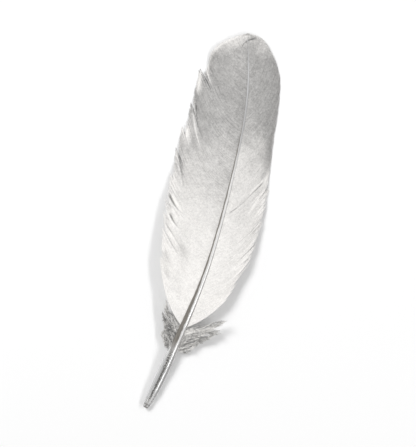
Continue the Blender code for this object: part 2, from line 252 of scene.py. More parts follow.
QUILL_WALL = 0.42
PITH_START = 24.0  # the shaft's pith starts as a point inside the clear quill
TUBE_END = 34.0
MEMBRANE = (4.0, 31.5)  # where the dried membrane starts and ends
MEMBRANE_CUPS = 22
MEMBRANE_POINTS = 30
CUP_RADII = (0.85, 0.5)
CUP_HEIGHT = 0.9
CUP_TILT = 0.35  # how far a cup may lean, in radians
MEMBRANE_ASIDE = -0.3
PAINT_RING_STEP = 1.3  # spacing of the rings in the paint at the quill's end

PHOTO_LEAN = 16.0  # degrees by which the feather leans to the right of upright
FRAME_SHARE = 0.90  # share of the picture's height that the leaning feather takes
SENSOR_HEIGHT = 24.0
SKY_STRENGTH = 0.38
TABLE_GREY = (0.93, 0.93, 0.93, 1)
CAMERA_HEIGHT = 0.9  # in metres, and so are the next two
TABLE_HALF = 1.5
# Each light's place as the picture shows it, to the right, up the picture and towards the camera, then its
# width and its length up the picture, and its power in watts.
LIGHTS = {
    "key light": ((-0.5, 0.5, 0.9), 0.4, 0.4, 7.8),
    "strip light": ((0.74, -0.25, 0.84), 0.14, 1.2, 5.4),
}


def smooth(stations, at):
    """Reads the smooth curve through the stations, which has no bumps between them."""
    x, y = np.array(stations, float).T
    run = np.diff(x)
    rise = np.diff(y) / run
    turns = rise[:-1] * rise[1:] <= 0
    before = 2 * run[1:] + run[:-1]
    after = run[1:] + 2 * run[:-1]
    safe = np.where(turns, 1, rise[:-1]), np.where(turns, 1, rise[1:])
    middle = np.where(turns, 0, (before + after) / (before / safe[0] + after / safe[1]))
    slope = np.concatenate([rise[:1], middle, rise[-1:]])
    at = np.clip(at, x[0], x[-1])
    k = np.clip(np.searchsorted(x, at) - 1, 0, len(run) - 1)
    t = (at - x[k]) / run[k]
    blend = t * t * (3 - 2 * t)
    lean = run[k] * (slope[k] * t * (1 - t) ** 2 - slope[k + 1] * t * t * (1 - t))
    return y[k] * (1 - blend) + y[k + 1] * blend + lean


LINE_STEP = 0.25
LINE_PLACES = np.arange(0, 180, LINE_STEP)
LINE_HEADINGS = np.radians(smooth(HEADING, LINE_PLACES + LINE_STEP / 2))
LINE_X = np.concatenate([[0], np.cumsum(np.sin(LINE_HEADINGS) * LINE_STEP)[:-1]])
LINE_Y = np.concatenate([[0], np.cumsum(np.cos(LINE_HEADINGS) * LINE_STEP)[:-1]])


def middle_height(place):
    return smooth(UNDERSIDE, place) + smooth(RADIUS, np.maximum(place, LEVEL_FROM))


def beside_shaft(place, reach, height):
    """Points at places along the shaft and reaches to its right, at heights over the table."""
    heading = np.radians(smooth(HEADING, place))
    x = np.interp(place, LINE_PLACES, LINE_X) + reach * np.cos(heading)
    y = np.interp(place, LINE_PLACES, LINE_Y) - reach * np.sin(heading)
    return np.stack([x - BOX_MIDDLE[0], y - BOX_MIDDLE[1], height + 0 * x], axis=-1) * MM


# ---------------------------------------------------------------- node and mesh helpers
def first_output(node):
    return next(socket for socket in node.outputs if socket.enabled)


class Wiring:
    """Adds nodes to a tree. An input takes a plain value, another node, or a node's output."""

    def __init__(self, tree):
        self.tree = tree

    def add(self, kind, inputs=None, **settings):
        node = self.tree.nodes.new(kind)
        for setting, value in settings.items():
            setattr(node, setting, value)
        for key, value in (inputs or {}).items():
            self.give(node.inputs[key], value)
        return node

    def give(self, socket, value):
        if isinstance(value, bpy.types.Node):
            value = first_output(value)
        if isinstance(value, bpy.types.NodeSocket):
            self.tree.links.new(value, socket)
        else:
            socket.default_value = value

    def calc(self, operation, a, b=0.0):
        return self.add("ShaderNodeMath", {0: a, 1: b}, operation=operation)

    def plus(self, a, b):
        return self.calc("ADD", a, b)

    def minus(self, a, b):
        return self.calc("SUBTRACT", a, b)

    def times(self, first, *others):
        for other in others:
            first = self.calc("MULTIPLY", first, other)
        return first

    def vector(self, operation, a, b):
        return self.add("ShaderNodeVectorMath", {0: a, 1: b}, operation=operation)

    def xyz(self, x=0.0, y=0.0, z=0.0):
        return self.add("ShaderNodeCombineXYZ", {0: x, 1: y, 2: z})

    def parts(self, vector):
        """A vector's X, Y and Z."""
        return self.add("ShaderNodeSeparateXYZ", {0: vector}).outputs

    def scaled(self, a, factor):
        return self.add("ShaderNodeVectorMath", {0: a, "Scale": factor}, operation="SCALE")

    def ramp(self, value, low, high, to_low=0.0, to_high=1.0, interpolation="SMOOTHSTEP"):
        inputs = {0: value, 1: low, 2: high, 3: to_low, 4: to_high}
        return self.add("ShaderNodeMapRange", inputs, interpolation_type=interpolation)

    def curve(self, value, points):
        """A float curve through the points, each (where, value), both from 0 to 1."""
        node = self.add("ShaderNodeFloatCurve", {1: value})
        line = node.mapping.curves[0]
        line.points[0].location = points[0]
        line.points[-1].location = points[-1]
        for point in points[1:-1]:
            line.points.new(*point)
        node.mapping.update()
        return node


class Growth(Wiring):
    """A geometry tree with named inputs, which ends in realized instances and a material."""

    KINDS = {"int": "NodeSocketInt", "float": "NodeSocketFloat", "finish": "NodeSocketMaterial"}

    def __init__(self, name, inputs):
        super().__init__(bpy.data.node_groups.new(name, "GeometryNodeTree"))
        face = self.tree.interface
        face.new_socket("Guide", in_out="INPUT", socket_type="NodeSocketGeometry")
        for label, kind in inputs:
            face.new_socket(label, in_out="INPUT", socket_type=self.KINDS[kind])
        face.new_socket("Grown", in_out="OUTPUT", socket_type="NodeSocketGeometry")
        self.given = self.add("NodeGroupInput").outputs

    def store(self, geometry, name, value, kind="FLOAT", domain="POINT"):
        inputs = {"Geometry": geometry, "Name": name, "Value": value}
        return self.add("GeometryNodeStoreNamedAttribute", inputs, data_type=kind, domain=domain)

    def named(self, name, kind="FLOAT"):
        return self.add("GeometryNodeInputNamedAttribute", {"Name": name}, data_type=kind)

    def luck(self, low, high, seed_step):
        """A random number from low to high. seed_step makes each use differ."""
        seed = self.plus(self.given["Seed"], float(seed_step))
        return self.add("FunctionNodeRandomValue", {2: low, 3: high, 8: seed}, data_type="FLOAT")

    def position(self):
        return self.add("GeometryNodeInputPosition")

    def strewn(self, spots, shape, turn, size):
        """The shape on each of a curve's spots, turned from the curve's own direction."""
        turn = self.add("FunctionNodeEulerToRotation", {0: turn})
        inputs = {"Rotation": spots.outputs["Rotation"], "Rotate By": turn}
        aim = self.add("FunctionNodeRotateRotation", inputs, rotation_space="LOCAL")
        inputs = {"Points": spots, "Instance": shape, "Rotation": aim, "Scale": size}
        return self.add("GeometryNodeInstanceOnPoints", inputs)

    def close(self, geometry):
        whole = self.add("GeometryNodeRealizeInstances", {"Geometry": geometry})
        soft = self.add("GeometryNodeSetShadeSmooth", {"Geometry": whole})
        dressed = self.add("GeometryNodeSetMaterial", {"Geometry": soft, "Material": self.given["Finish"]})
        self.add("NodeGroupOutput", {0: dressed})
        return self.tree


def new_mesh(name, points, faces=(), edges=()):
    mesh = bpy.data.meshes.new(name)
    mesh.from_pydata([tuple(point) for point in points], edges, faces)
    mesh.update()
    return mesh


def mark(mesh, label, values, domain="POINT"):
    """Keeps a number for each of a mesh's points or face corners."""
    mesh.attributes.new(label, "FLOAT", domain).data.foreach_set("value", values)


def shown(name, data, finish=None):
    """An object with this mesh, light or camera, in the scene."""
    made = bpy.data.objects.new(name, data)
    bpy.context.scene.collection.objects.link(made)
    if finish:
        data.materials.append(finish)
    return made


def grow(name, guide, tree, values):
    """Runs a growth tree on a guide mesh and returns the result as a plain piece."""
    guide_piece = shown(name + "_guide", guide)
    modifier = guide_piece.modifiers.new("growth", "NODES")
    modifier.node_group = tree
    for item in tree.interface.items_tree:
        if item.in_out == "INPUT" and item.name in values:
            modifier[item.identifier] = values[item.name]
    bpy.context.view_layer.update()
    evaluated = guide_piece.evaluated_get(bpy.context.evaluated_depsgraph_get())
    mesh = bpy.data.meshes.new_from_object(evaluated)
    bpy.data.objects.remove(guide_piece)
    mesh.name = name
    return shown(name, mesh)


# ---------------------------------------------------------------- guides for the barbs
def lock_borders(sheet):
    """The lock borders' places along the edge, and the splits that are on some of them. The other borders
    spread evenly between the splits."""
    first, last = sheet["fan"][0][0], sheet["fan"][-1][0]
    step = (last - first) / sheet["locks"]
    fixed, splits = [(0, first)], {}
    for mouth, joined, width in sheet["splits"]:
        root = root_of(sheet, mouth)
        k = max(round((root - first) / step), fixed[-1][0] + 1)
        fixed.append((k, root))
        splits[k] = (joined, width)
    roots = smooth(fixed + [(sheet["locks"], last)], np.arange(sheet["locks"] + 1))
    return smooth(sheet["fan"], roots), splits


def ease(value, low, high):
    """Rises smoothly from 0 at low to 1 at high."""
    t = np.clip((value - low) / (high - low), 0, 1)
    return t * t * (3 - 2 * t)


def root_of(sheet, edge):
    """The place where the barb that ends beside a place leaves the shaft."""
    places = np.linspace(sheet["fan"][0][0], sheet["fan"][-1][0], FAN_STEPS)
    return float(np.interp(edge, smooth(sheet["fan"], places), places))


def barb_line(sheet, edge, in_lock, below, above):
    """The middle line of one barb, as points. below and above are the (joined, width) of the splits at
    the lock's two borders, or None."""
    t = np.linspace(0, 1, GUIDE_COLUMNS)
    root = root_of(sheet, edge)
    radius = float(smooth(RADIUS, root))
    inner = radius * BARB_ROOT_IN
    outer = float(smooth(sheet["outline"], edge))
    straight = float(smooth(sheet["straight"], edge))
    border = (2 * in_lock - 1) ** 2
    length_share = min(1, max(0, outer - LOCKS_FROM) / LOCKS_FULL)
    growth = -sheet["lock_tip"] * border * length_share * (1 - ease(edge, *LEVEL_TIP_FROM))
    parting, lips = np.zeros_like(t), np.zeros_like(t)
    for split, lip in ((below, 1), (above, -1)):
        if split:
            near = (1 - in_lock if lip > 0 else in_lock) ** LIP_BEND
            joined, width = split
            opening = np.maximum(0, t - joined) / (1 - joined)
            growth -= lip * sheet["split_step"] * near
            parting += lip * near * width / 2 * opening
            lips += lip * near * LIP_LIFT * opening
    way = t + growth / max(outer - inner, 1) * t ** GROWTH_BEND
    place = root + (edge - root) * (straight * way + (1 - straight) * way ** BARB_BEND) + parting
    dip = np.minimum(way, 1) ** CAMBER
    root_height = float(middle_height(root)) + ROOT_RISE * radius
    height = root_height * (1 - dip) + float(smooth(sheet["edge_height"], edge)) * dip + SHEET_MIDDLE
    rim = RIM_LIFT * ease(edge, *RIM_FROM) * ease(t, *RIM_TURN)
    return beside_shaft(place, sheet["side"] * (inner + (outer - inner) * way), height + lips + rim)


def barb_guide(name, sheet):
    """A vane's surface, one island for each lock. Its map gives each point's way along its barb and the
    barb's number, from 0 to 1, and its attributes the step to the next barb, the way up and how loose
    the barbs hang."""
    borders, splits = lock_borders(sheet)
    points, faces, steps, ups, places, looseness = [], [], [], [], [], []
    columns = GUIDE_COLUMNS
    for lock in range(sheet["locks"]):
        shares = np.linspace(0, 1, GUIDE_ROWS_PER_LOCK + 1)
        edges = borders[lock] + (borders[lock + 1] - borders[lock]) * shares
        lines = [barb_line(sheet, edge, share, splits.get(lock), splits.get(lock + 1))
                 for edge, share in zip(edges, shares)]
        grid = np.array(lines)
        along = np.gradient(grid, axis=1)
        along /= np.linalg.norm(along, axis=-1, keepdims=True)
        step = np.gradient(grid, axis=0) * GUIDE_ROWS_PER_LOCK * sheet["locks"]
        step -= (step * along).sum(-1, keepdims=True) * along
        up = np.cross(step, along) * -sheet["side"]
        up /= np.linalg.norm(up, axis=-1, keepdims=True)
        base = len(points)
        points += list(grid.reshape(-1, 3))
        steps += list(step.reshape(-1, 3))
        ups += list(up.reshape(-1, 3))
        looseness += list(np.repeat(smooth(sheet["loose"], edges), columns))
        places += [(c / (columns - 1), (lock + share) / sheet["locks"]) for share in shares
                   for c in range(columns)]
        for r in range(GUIDE_ROWS_PER_LOCK):
            for c in range(columns - 1):
                corner = base + r * columns + c
                faces.append((corner, corner + 1, corner + columns + 1, corner + columns))
    mesh = new_mesh(name, points, faces)
    uv = mesh.uv_layers.new(name="barb_map")
    for loop in mesh.loops:
        uv.data[loop.index].uv = places[loop.vertex_index]
    for label, values in (("step", steps), ("up", ups)):
        kept = mesh.attributes.new(label, "FLOAT_VECTOR", "POINT")
        kept.data.foreach_set("vector", np.array(values).ravel())
    mark(mesh, "loose", looseness)
    return mesh


def barb_growth():
    """Webs of barbs, side by side over a guide surface and tucked under one another like shingles."""
    g = Growth("zipped barbs", [("Barbs", "int"), ("Cover", "float"), ("Barb height", "float"),
                                ("Shingle", "float"), ("Swell", "float"), ("Fray", "float"), ("Seed", "int"),
                                ("Finish", "finish")])
    guide = g.given["Guide"]
    line = g.add("GeometryNodeMeshLine", {"Count": g.given["Barbs"], "Offset": (0, 0, 0)})
    index = g.add("GeometryNodeInputIndex")
    spread = g.plus(g.plus(index, 0.5), g.luck(-BARB_UNEVEN, BARB_UNEVEN, 1))
    roots = g.store(line, "number", g.calc("DIVIDE", spread, g.given["Barbs"]))
    for label, seed_step in (("luck", 2), ("luck_b", 3)):
        roots = g.store(roots, label, g.luck(0.0, 1.0, seed_step))
    web = g.add("GeometryNodeMeshCylinder",
                {"Vertices": WEB_SIDES, "Side Segments": WEB_SEGMENTS, "Radius": 1.0, "Depth": 1.0})
    spot = g.parts(g.position())
    for label, value in (("along", g.plus(spot["Z"], 0.5)), ("side", spot["X"]), ("rise", spot["Y"])):
        web = g.store(web, label, value)
    barbs = g.add("GeometryNodeInstanceOnPoints", {"Points": roots, "Instance": web})
    barbs = g.add("GeometryNodeRealizeInstances", {"Geometry": barbs})
    along, side, rise = g.named("along"), g.named("side"), g.named("rise")
    number, luck, luck_b = g.named("number"), g.named("luck"), g.named("luck_b")
    barb_map = g.named("barb_map", "FLOAT_VECTOR")

    def on_guide(value, where, kind="FLOAT_VECTOR"):
        inputs = {"Mesh": guide, "Value": value, "UV Map": barb_map, "Sample UV": where}
        return g.add("GeometryNodeSampleUVSurface", inputs, data_type=kind)

    whole = g.xyz(along, number)
    loose = on_guide(g.named("loose"), whole, "FLOAT")
    fray = g.times(g.given["Fray"], g.plus(1.0, g.times(loose, LOOSE_FRAY)))
    short = g.times(g.calc("POWER", luck, FRAY_RARITY), fray)
    way = g.times(along, g.minus(1.0, short))
    where = g.xyz(way, number)
    middle = on_guide(g.position(), where)
    step = on_guide(g.named("step", "FLOAT_VECTOR"), where)
    up = on_guide(g.named("up", "FLOAT_VECTOR"), where)

    loses = g.times(g.curve(along, WEB_LOSES), g.ramp(loose, 0.0, LOOSE_AT, ZIPPED_LOSES, 1.0))
    taper = g.minus(1.0, loses)
    pitch = g.scaled(step, g.calc("DIVIDE", 1.0, g.given["Barbs"]))
    width = g.times(taper, g.given["Cover"])
    across = g.scaled(pitch, g.times(side, 0.5, width))
    wander = g.plus(1.0, g.times(loose, LOOSE_STRAY))
    stray = g.times(g.minus(luck_b, 0.5), g.times(g.calc("POWER", way, STRAY_BEND), wander))
    across = g.vector("ADD", across, g.scaled(pitch, stray))

    ripple_spot = g.xyz(g.times(way, RIPPLES[0]), g.times(number, RIPPLES[1]), g.given["Seed"])
    ripple = g.add("ShaderNodeTexNoise", {"Vector": ripple_spot, "Scale": 1.0, "Detail": 3.0})
    swell = g.times(g.minus(ripple, 0.5), g.given["Swell"])
    thick = g.times(g.times(rise, 0.5), g.times(taper, g.given["Barb height"]))
    apart = g.add("ShaderNodeVectorMath", {0: pitch}, operation="LENGTH").outputs["Value"]
    tuck = g.times(g.times(side, taper), g.times(apart, g.given["Shingle"]))
    lift = g.times(g.minus(luck, 0.5), g.times(g.given["Barb height"], 0.5))
    height = g.plus(g.plus(thick, tuck), g.plus(lift, swell))
    place = g.vector("ADD", g.vector("ADD", middle, across), g.scaled(up, height))
    barbs = g.add("GeometryNodeSetPosition", {"Geometry": barbs, "Position": place})
    return g.close(g.store(barbs, "web_map", whole, "FLOAT2", "CORNER"))


def rounded_off(line):
    """The line with its corners cut, twice over."""
    line = np.array(line, float)
    for _ in range(2):
        cuts = np.stack([line[:-1] * 0.75 + line[1:] * 0.25, line[:-1] * 0.25 + line[1:] * 0.75], axis=1)
        line = np.concatenate([line[:1], cuts.reshape(-1, 2)[1:-1], line[-1:]])
    return line


def beside_line(spots, line):
    """How far each spot is from a line of points, which side of it, and how far along it, from 0 to 1."""
    line = rounded_off(line)
    lengths = np.linalg.norm(np.diff(line, axis=0), axis=1)
    starts = np.concatenate([[0], np.cumsum(lengths)])
    nearest, side, along = np.full(len(spots), np.inf), np.ones(len(spots)), np.zeros(len(spots))
    for k, run in enumerate(np.diff(line, axis=0)):
        offset = spots - line[k]
        share = np.clip(offset @ run / (run @ run), 0, 1)
        away = np.linalg.norm(offset - share[:, None] * run, axis=1)
        closer = away < nearest
        nearest = np.where(closer, away, nearest)
        side = np.where(closer, np.sign(run[0] * offset[:, 1] - run[1] * offset[:, 0]), side)
        along = np.where(closer, (starts[k] + share * lengths[k]) / starts[-1], along)
    return nearest, side, along


def wear_and_painted_light(mesh, lower_side):
    """Presses the partings into a vane. Marks how deep each point lies, and how thick its paint is; that
    paint mark also carries painted shade and painted highlights.
    lower_side is the side of a parting, as seen from its mouth, on which its lower lip lies."""
    points = np.empty(len(mesh.vertices) * 3)
    mesh.vertices.foreach_get("co", points)
    points = points.reshape(-1, 3)
    spots = points[:, :2] / MM + BOX_MIDDLE
    depth, paint = np.zeros(len(points)), np.zeros(len(points))
    for line, press, half_width, pale in PARTINGS:
        away, side, along = beside_line(spots, line)
        narrow = half_width * (1 - PARTING_NARROWS * along)
        fade = ease(along, *PARTING_MOUTH) * (1 - along) ** FADE_BEND
        depth = np.maximum(depth, press * fade * np.exp(-(away / narrow) ** 2))
        lip = side * lower_side * away / narrow
        # Painted highlight: the parting's lower lip is painted paler.
        paint -= pale * fade * np.exp(-(lip - LIP_ASIDE) ** 2)
    # Painted highlights, along with thinner paint: the pale lines.
    for line, half_width, pale in PALE_LINES:
        away, _, along = beside_line(spots, line)
        paint -= pale * (1 - along ** 4) * np.exp(-(away / half_width) ** 2)
    # Painted shade and painted highlight in some patches, besides thicker and thinner paint.
    for middle, half_length, half_width, direction, change in PAINT_AND_SHADE_PATCHES:
        turn = math.radians(direction)
        x, y = (spots - middle).T
        lengthways = x * math.sin(turn) + y * math.cos(turn)
        sideways = x * math.cos(turn) - y * math.sin(turn)
        paint += change * np.exp(-(lengthways / half_length) ** 2 - (sideways / half_width) ** 2)
    points[:, 2] = np.maximum(points[:, 2] - depth * MM, TABLE_CLEARANCE * MM)
    mesh.vertices.foreach_set("co", points.ravel())
    mark(mesh, "crease", depth)
    # The paint mark holds painted shade and painted highlights as well as paint thickness.
    mark(mesh, "paint", paint)
    mesh.update()


def down_guide(name, tuft, seed):
    """The stems of a tuft of downy barbs, as chains of edges. A clump's barbs draw together and curl as
    one. Each point keeps how pale it is."""
    rng = np.random.default_rng(seed)
    t = np.linspace(0, 1, DOWN_POINTS)
    first, last = tuft["fan"][0][0], tuft["fan"][-1][0]
    points, edges, tones = [], [], []
    for clump in range(tuft["clumps"]):
        middle = (clump + 0.5) / tuft["clumps"]
        clump_tone = float(smooth(tuft["tone"], middle)) + rng.uniform(-CLUMP_TONE, CLUMP_TONE)
        curl = DOWN_CURL[0] + (DOWN_CURL[1] - DOWN_CURL[0]) * middle
        waves, start = rng.uniform(*DOWN_WAVES), rng.uniform(0, 2 * np.pi)
        clump_length, clump_lift = rng.uniform(*CLUMP_LENGTH), rng.uniform(*CLUMP_LIFT)
        for _ in range(tuft["barbs_per_clump"]):
            own = middle + rng.uniform(-0.5, 0.5) / tuft["clumps"]
            share = own + (middle - own) * DOWN_GATHER * t
            root = first + share * (last - first)
            edge = smooth(tuft["fan"], root)
            radius = smooth(RADIUS, root)
            inner = radius * BARB_ROOT_IN
            length = clump_length * rng.uniform(*STEM_LENGTH)
            turn = waves * t + start + rng.uniform(-STEM_LAG, STEM_LAG)
            sway = curl * rng.uniform(*STEM_SWAY) * t
            run = DOWN_STRAIGHT * t + (1 - DOWN_STRAIGHT) * t ** BARB_BEND
            place = root + (edge - root) * length * run + sway * np.sin(turn)
            reach = inner + (smooth(tuft["outline"], edge) - inner) * length * t
            reach = reach + SWAY_OUTWARDS * sway * np.cos(turn)
            low = middle_height(root) + ROOT_RISE * radius * rng.uniform(-1, 1)
            lift = DOWN_LIFT * (clump_lift + rng.uniform(-STEM_LIFT, STEM_LIFT))
            high = smooth(tuft["edge_height"], edge) + lift
            height = low + (high - low) * t ** CAMBER + SWAY_UPWARDS * sway * np.sin(turn + 1)
            base = len(points)
            points += list(beside_shaft(place, tuft["side"] * reach, np.maximum(height, DOWN_CLEARANCE)))
            edges += [(base + i, base + i + 1) for i in range(DOWN_POINTS - 1)]
            # Painted highlight on the curls' crests and painted shade in their troughs, on top of each
            # clump's random tone.
            tones += list(clump_tone + DOWN_CREST * t * np.sin(turn + 1))
    mesh = new_mesh(name, points, edges=edges)
    mark(mesh, "tone", tones)
    return mesh


def down_growth():
    """Downy barbs: a fine stem with loose curved barbules down both sides."""
    g = Growth("downy barbs", [("Stem radius", "float"), ("Barbule radius", "float"),
                               ("Barbule length", "float"), ("Spacing", "float"), ("Seed", "int"),
                               ("Finish", "finish")])
    stems = g.add("GeometryNodeMeshToCurve", {"Mesh": g.given["Guide"]})
    way = g.add("GeometryNodeSplineParameter").outputs["Factor"]
    stems = g.store(stems, "way", way)
    profile = g.add("GeometryNodeCurvePrimitiveCircle", {"Resolution": 4, "Radius": g.given["Stem radius"]})
    thin = g.minus(1.0, g.times(way, STEM_THINS))
    inputs = {"Curve": stems, "Profile Curve": profile, "Scale": thin, "Fill Caps": True}
    bodies = g.add("GeometryNodeCurveToMesh", inputs)
    spots = g.add("GeometryNodeCurveToPoints", {"Curve": stems, "Length": g.given["Spacing"]}, mode="LENGTH")
    other_side = g.times(g.calc("MODULO", g.add("GeometryNodeInputIndex"), 2.0), math.pi)
    turn = g.plus(other_side, g.luck(-BARBULE_TWIST, BARBULE_TWIST, 1))
    lean = g.minus(g.luck(*BARBULE_LEAN, 2), g.times(g.named("way"), BARBULE_TIP_LEAN))
    barbule = g.add("GeometryNodeMeshCone", {"Vertices": 3, "Side Segments": 2, "Radius Top": 0.35,
                                             "Radius Bottom": 1.0, "Depth": 1.0})
    bend = g.times(g.calc("POWER", g.parts(g.position())["Z"], 2.0), BARBULE_CURVE)
    barbule = g.add("GeometryNodeSetPosition", {"Geometry": barbule, "Offset": g.xyz(0.0, bend)})
    share = g.curve(g.named("way"), BARBULE_SHARES)
    length = g.times(g.given["Barbule length"], share, g.luck(0.6, 1.1, 3))
    size = g.xyz(g.given["Barbule radius"], g.given["Barbule radius"], length)
    both = g.add("GeometryNodeJoinGeometry", {0: bodies})
    g.give(both.inputs[0], g.strewn(spots, barbule, g.xyz(lean, 0.0, turn), size))
    return g.close(both)


def membrane_growth():
    """The dried membrane inside the quill: small cups stacked one in another along a line."""
    g = Growth("membrane cups", [("Cups", "int"), ("Seed", "int"), ("Finish", "finish")])
    line = g.add("GeometryNodeMeshToCurve", {"Mesh": g.given["Guide"]})
    spots = g.add("GeometryNodeCurveToPoints", {"Curve": line, "Count": g.given["Cups"]}, mode="COUNT")
    cup = g.add("GeometryNodeMeshCone",
                {"Vertices": 14, "Side Segments": 3, "Radius Top": CUP_RADII[0] * MM,
                 "Radius Bottom": CUP_RADII[1] * MM, "Depth": CUP_HEIGHT * MM})
    tilt = g.xyz(g.luck(-CUP_TILT, CUP_TILT, 1), g.luck(-CUP_TILT, CUP_TILT, 2))
    return g.close(g.strewn(spots, cup, tilt, g.luck(0.75, 1.1, 3)))


# ---------------------------------------------------------------- finishes
PALE_BARBS = (0.84, 0.82, 0.795, 1), (0.96, 0.94, 0.915, 1)
GREY_PAINT = (0.326, 0.32, 0.313, 1), (0.457, 0.45, 0.441, 1)
WARM_WHITE = (1.0, 0.985, 0.96)
MEMBRANE_BROWN = (0.07, 0.065, 0.06, 1), (0.22, 0.20, 0.185, 1)
# How thick the paint is, from 0 to 1, at distances up the feather.
WIDE_VANE_COAT = [(0, 0), (45, 0), (68, 0.1), (77, 0.2), (90, 0.35), (98, 0.45), (112, 0.68), (125, 0.9),
                  (140, 1), (169, 1)]
NARROW_VANE_COAT = [(0, 0), (55, 0), (75, 0.09), (85, 0.16), (107, 0.33), (120, 0.58), (130, 0.87), (142, 1),
                    (169, 1)]
COAT_DRIFT = 0.04  # the range in which the coat wanders up and down, in metres
# Painted shade: the bottom of each crease is painted darker.
PAINTED_CREASE_SHADE = 0.6  # how much darker the bottom of a crease is
# Noises: the scale of each, which is how fine it is.
COAT_CLOUD = 70.0
PAINT_BLOTCH = 300.0
PAINT_MOTTLE = 1100.0
PAINT_GRAIN = 2600.0
PAINT_STREAKS = (4.0, 120.0)  # along a barb, and along the vane
HORN_BLOT = 1500.0
HORN_GRAIN = 1800.0
HORN_STREAK = 2500.0
MEMBRANE_GRAIN = 900.0
DUST_FLECK = 1100.0

# The bare flank's two borders, as shares of the way round from the right over the top, at shares of the
# shaft's length.
BARE_FROM = [(0, 0.23), (0.2, 0.232), (0.29, 0.252), (0.37, 0.3), (0.45, 0.29), (0.75, 0.285), (1, 0.3)]
BARE_TO = [(0, 0.315), (0.124, 0.315), (0.16, 0.36), (0.2, 0.55), (0.24, 0.62), (1, 0.62)]
BARE_HORN = (0.11, 0.1, 0.09, 1), (0.30, 0.28, 0.25, 1)
HORN_BELOW = (0.5, 0.48, 0.45, 1)
HORN_AT_END = (0.26, 0.25, 0.24, 1)
CLEAR_HORN = (0.95, 0.94, 0.92, 1)
# The grey of the painted shade along the shaft's right edge, then the band round the shaft where it lies.
EDGE_SHADE_GREY = (0.20, 0.19, 0.18, 1)
EDGE_SHADE_BAND = (0.07, 0.085, 0.12, 0.135)  # the shares of the way round between which the right edge is painted darker, as painted shade
BELOW = (0.60, 0.64, 0.90, 0.94)  # and those between which the underside is bare
SHAFT_SILVER = (0.62, 0.62, 0.62, 1)  # round the quill
# How the paint changes colour further up: from one place to the next, and to what.
SHAFT_PAINT = [(22.0, 33.0, (0.86, 0.85, 0.84, 1)), (50.0, 85.0, (0.7, 0.69, 0.68, 1)),
               (100.0, 132.0, (0.42, 0.42, 0.425, 1)), (140.0, 152.0, (0.47, 0.47, 0.475, 1))]
# What else changes along the shaft: from one place to the next, and from what to what, or else from 0 to 1.
BLOTS_TO_STREAKS = (28.0, 40.0)
FLANK_PAINTED = (118.0, 148.0, 1.0, 0.0)
EDGE_SHADE_FADES = (100.0, 122.0, 0.8, 0.0)
PAINT_RINGS_FADE = (2.0, 8.0, 1.0, 0.0)
ROUGH_QUILL_END = (5.0, 9.5, 0.5, 0.2)
ROUGH_TIP = (50.0, 120.0, 0.2, 0.5)
METALLIC_SHARE = (45.0, 75.0, 0.4, 0.2)
WALL_PALES = (1.5, 3.0)
WALL_CLEARS = (1.0, 4.0)
WALL_DULLS = (24.0, 33.0)


class Finish(Wiring):
    """A material whose Principled shader is filled in by number or by node."""

    def __init__(self, name):
        self.material = bpy.data.materials.new(name)
        self.material.use_nodes = True
        super().__init__(self.material.node_tree)
        self.shader = self.tree.nodes["Principled BSDF"]

    def set(self, **values):
        for key, value in values.items():
            self.give(self.shader.inputs[key.replace("_", " ")], value)

    def attribute(self, name, output="Fac"):
        return self.add("ShaderNodeAttribute", attribute_name=name).outputs[output]

    def spot(self):
        return self.add("ShaderNodeTexCoord").outputs["Object"]

    def noise(self, vector, scale, detail=3.0, roughness=0.5):
        inputs = {"Vector": vector, "Scale": scale, "Detail": detail, "Roughness": roughness}
        return self.add("ShaderNodeTexNoise", inputs)

    def mix(self, factor, a, b):
        return self.add("ShaderNodeMix", {0: factor, 6: a, 7: b}, data_type="RGBA")

    def within(self, value, rise_from, rise_to, fall_from, fall_to):
        """1 between the rise and the fall, and 0 outside them."""
        risen = self.ramp(value, rise_from, rise_to)
        return self.times(risen, self.ramp(value, fall_from, fall_to, 1.0, 0.0))

    def bump(self, height, strength, distance):
        inputs = {"Strength": strength, "Distance": distance, "Height": height}
        self.give(self.shader.inputs["Normal"], self.add("ShaderNodeBump", inputs))


